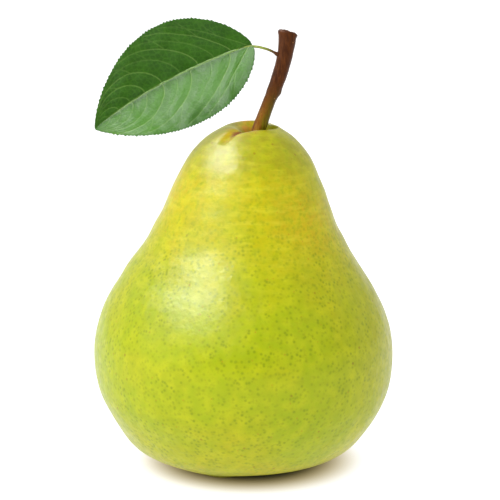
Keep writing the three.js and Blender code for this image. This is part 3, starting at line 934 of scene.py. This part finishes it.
def make_leaf():
    """The leaf: a thin blade whose rings run across its upper face and back below, and its petiole."""
    steps = TEETH * STEPS_PER_TOOTH
    place = (np.arange(steps) + 0.5) / steps
    t = LEAF_START + LEAF_SPAN * place
    v = np.linspace(-1, 1, LEAF_ACROSS + 1)
    relief, vein, net = map(on_both_faces, leaf_relief(*np.meshgrid(t, v, indexing="ij")))
    ring_v = on_both_faces(v[None])[0]
    upper = np.repeat([1.0, 0.0], len(v))
    t_grid, v_grid = np.meshgrid(t, ring_v, indexing="ij")
    out = np.abs(v_grid)
    thin = BLADE_THICKNESS / 2 * (1 - MARGIN_THINNING * out**MARGIN_THINNING_POWER)
    lift = relief + np.where(upper > 0, thin, -thin - VEIN_RISE_BELOW * vein)
    rings = leaf_points(t_grid, v_grid, leaf_teeth(place, t, ring_v), lift)
    curled = smoothstep(0.5, 1.0, out) * smoothstep(0.8, 0.45, t_grid)
    # Painted shade at the margin, the tip and the curl of the lower margin.
    edge = MARGIN_SHADE * smoothstep(0.9, 1.0, out) + TIP_SHADE * smoothstep(0.88, 1.0, t_grid)
    edge += CURL_SHADE * curled * (v_grid < 0)
    # Painted light on the lower half, less where its margin curls away.
    paler = PAINTED_LIGHT_HALF * smoothstep(0.0, -0.2, v_grid) * (1 - 0.9 * curled)
    surface = Surface()
    surface.add(rings, BLADE_BAND, leaf_values(
        t_grid.shape, vein=vein, net=net, upper_face=upper, edge_shade=np.clip(edge, 0, 1), paler_half=paler,
    ))
    add_petiole(surface)
    leaf = surface.make("pear_leaf", leaf_material(), "leaf")
    # The fruit under the leaf is as bright as the rest, so the leaf throws no shadow.
    leaf.visible_shadow = False
    return leaf


def add_petiole(surface):
    """The petiole and the midrib that it runs on into under the blade, as one tapering tube."""
    path = np.vstack([PETIOLE, leaf_points(np.array(MIDRIB_AT), np.zeros(len(MIDRIB_AT)), lift=MIDRIB_LIFT)])
    u = evenly_along(path, PETIOLE_ROWS)
    share = np.linspace(0, 1, len(u))
    radius = PETIOLE_RADIUS + (MIDRIB_TIP_RADIUS - PETIOLE_RADIUS) * smoothstep(0.1, 1.0, share)
    radius += PETIOLE_FLARE * smoothstep(0.03, 0.0, share)
    rings = tube_rings(spline(path, u), radius, PETIOLE_COLUMNS)
    share = share[:, None]
    surface.add(rings, PETIOLE_BAND, leaf_values(
        rings.shape[:2], vein=0.8, stalk=smoothstep(0.3, 0.12, share), stalk_end=smoothstep(0.1, 0.02, share),
    ))


def band(bands, k):
    """The k-th level band of a texture square."""
    first, step, height = bands
    low = first + step * k
    return (0, low, 1, low + height)


def add_cup(surface):
    """The dried cup that carries the sepals and stamens."""
    profile = spline(CALYX_CUP[1:-1], np.linspace(0, len(CALYX_CUP) - 3, CUP_ROWS))
    radius, height = profile[:, :1], profile[:, 1:]
    angle = FULL_TURN * np.arange(CUP_COLUMNS) / CUP_COLUMNS
    cup = np.stack([radius * np.cos(angle), -radius * np.sin(angle), height + 0 * angle], -1)
    cup += CUP_UNEVENNESS * ripples(cup, 1.5, seed=30)[..., None]
    surface.add(cup, CUP_BAND, {"tip": np.zeros(cup.shape[:2])})


def add_sepal(surface, k, draw):
    """One dried sepal: a thin pointed blade, cupped across, that curls back at its tip."""
    azimuth = FULL_TURN * (k + SEPAL_TURN) / SEPALS
    share = np.linspace(0, 1, SEPAL_ROWS)
    radius, height = spline(SEPAL_PATH, share * (len(SEPAL_PATH) - 1)).T
    taper = 1 - SEPAL_TAPER * share**SEPAL_TAPER_POWER
    wavy = 1 + SEPAL_WAVE * np.sin(SEPAL_WAVE_TURN * share + draw.uniform(0, 6))
    half = SEPAL_HALF_WIDTH * taper * wavy
    v = np.linspace(-1, 1, SEPAL_ACROSS)
    ring_v = np.concatenate([v, v[::-1]])
    face = np.repeat([-SEPAL_THICKNESS / 2, SEPAL_THICKNESS / 2], SEPAL_ACROSS)
    outward = np.array([math.cos(azimuth), math.sin(azimuth), 0])
    sideways = np.array([-math.sin(azimuth), math.cos(azimuth), 0])
    rings = radius[:, None, None] * outward + (half[:, None] * ring_v)[..., None] * sideways
    rings[..., 2] = height[:, None] - SEPAL_CUPPING * ring_v**2 + face
    rings += SEPAL_UNEVENNESS * ripples(rings, 2, seed=33)[..., None]
    surface.add(rings, band(SEPAL_BANDS, k), {"tip": np.broadcast_to(share[:, None], rings.shape[:2])})


def add_stamen(surface, k, draw):
    """One dried stamen, a bent thread with a thicker end."""
    azimuth = FULL_TURN * (k + draw.uniform(-0.3, 0.3)) / STAMENS
    outward = np.array([math.cos(azimuth), math.sin(azimuth), 0])
    foot = outward * draw.uniform(*STAMEN_CIRCLE) + np.array([0, 0, STAMEN_FOOT_HEIGHT])
    tip = foot + outward * STAMEN_SPREAD - np.array([0, 0, STAMEN_LENGTH * draw.uniform(0.7, 1)])
    bend = (foot + tip) / 2 + draw.uniform(-STAMEN_BEND, STAMEN_BEND, 3)
    share = np.linspace(0, 1, STAMEN_ROWS)
    radius = STAMEN_RADIUS + ANTHER["out"] * fade(share - ANTHER["at"], ANTHER["width"])
    rings = tube_rings(spline([foot, bend, tip], 2 * share), radius, STAMEN_COLUMNS)
    surface.add(rings, band(STAMEN_BANDS, k), {"tip": np.broadcast_to(share[:, None], rings.shape[:2])})


def make_calyx():
    """The dried remains of the flower in the basin under the fruit."""
    surface = Surface()
    draw = np.random.default_rng(29)
    add_cup(surface)
    for k in range(SEPALS):
        add_sepal(surface, k, draw)
    for k in range(STAMENS):
        add_stamen(surface, k, draw)
    return surface.make("pear_calyx", calyx_material(), "calyx")


def add_floor():
    """The table top, which isn't part of the object."""
    half = FLOOR_HALF_WIDTH
    mesh = bpy.data.meshes.new("floor")
    corners = [(-half, -half, 0), (half, -half, 0), (half, half, 0), (-half, half, 0)]
    mesh.from_pydata(corners, [], [(0, 1, 2, 3)])
    mesh.materials.append(floor_material())
    floor = bpy.data.objects.new("floor", mesh)
    bpy.context.scene.collection.objects.link(floor)


def from_target(azimuth, elevation, distance):
    """A place in metres, at an azimuth counter-clockwise from +X and an elevation, from the pear's middle."""
    a, e = math.radians(azimuth), math.radians(elevation)
    way = Vector((math.cos(a) * math.cos(e), math.sin(a) * math.cos(e), math.sin(e)))
    return Vector(CAMERA_TARGET) * MM + way * distance


def facing_target(place):
    """The turn of a camera or a lamp at a place that makes it look at the pear's middle."""
    return (Vector(CAMERA_TARGET) * MM - place).to_track_quat("-Z", "Y").to_euler()


def softbox(name, azimuth, elevation, width, height, power, mirrored):
    """A lamp panel that either is mirrored in gloss, or lights the scene without being mirrored."""
    data = bpy.data.lights.new(name, "AREA")
    data.shape = "RECTANGLE"
    data.size = width
    data.size_y = height
    data.energy = power
    light = bpy.data.objects.new(name, data)
    light.location = from_target(azimuth, elevation, LAMP_DISTANCE)
    light.rotation_euler = facing_target(light.location)
    light.visible_glossy = mirrored
    light.visible_diffuse = not mirrored
    bpy.context.scene.collection.objects.link(light)


def soft_sun(name, azimuth, elevation, spread, energy):
    """Even light from a wide round patch of sky, which lights the scene but isn't mirrored in it."""
    data = bpy.data.lights.new(name, "SUN")
    data.energy = energy
    data.angle = math.radians(spread)
    light = bpy.data.objects.new(name, data)
    light.rotation_euler = facing_target(from_target(azimuth, elevation, LAMP_DISTANCE))
    light.visible_glossy = False
    bpy.context.scene.collection.objects.link(light)


def studio_world():
    """A white wall behind the pear that darkens towards the camera's side of the room."""
    world = bpy.data.worlds.new("studio")
    world.use_nodes = True
    tree = world.node_tree
    split = tree.nodes.new("ShaderNodeSeparateXYZ")
    tree.links.new(tree.nodes.new("ShaderNodeTexCoord").outputs["Generated"], split.inputs[0])
    change = tree.nodes.new("ShaderNodeMapRange")
    tree.links.new(split.outputs["Y"], change.inputs["Value"])
    change.inputs["From Min"].default_value, change.inputs["From Max"].default_value = WORLD_CHANGE
    change.inputs["To Min"].default_value, change.inputs["To Max"].default_value = WORLD_STRENGTH
    tree.links.new(change.outputs["Result"], tree.nodes["Background"].inputs["Strength"])
    tree.nodes["Background"].inputs["Color"].default_value = (1.0, 1.0, 1.0, 1.0)
    return world


def add_light():
    """The studio: one panel lights the pear, two show in its gloss, and wide skies fill the shadows."""
    bpy.context.scene.world = studio_world()
    softbox("key", azimuth=220, elevation=40, width=1.45, height=0.76, power=14.2, mirrored=False)
    softbox("window", azimuth=182, elevation=58, width=1.25, height=0.56, power=37, mirrored=True)
    softbox("card", azimuth=203, elevation=2, width=0.8, height=0.9, power=3.5, mirrored=True)
    soft_sun("ceiling", azimuth=320, elevation=60, spread=80, energy=0.2)
    soft_sun("fill", azimuth=335, elevation=0, spread=90, energy=1.25)


def add_camera():
    """The camera, whose view is FRAME_WIDTH wide at the pear."""
    data = bpy.data.cameras.new("camera")
    data.sensor_width = SENSOR
    data.lens = SENSOR * CAMERA_DISTANCE / FRAME_WIDTH
    data.clip_start = 0.01
    data.clip_end = 20
    camera = bpy.data.objects.new("camera", data)
    camera.location = from_target(CAMERA_AZIMUTH, CAMERA_ELEVATION, CAMERA_DISTANCE * MM)
    camera.rotation_euler = facing_target(camera.location)
    bpy.context.scene.collection.objects.link(camera)
    bpy.context.scene.camera = camera


add_camera()
make_fruit()
make_stem()
make_leaf()
make_calyx()
add_floor()
add_light()
bpy.context.scene.view_settings.view_transform = "Standard"
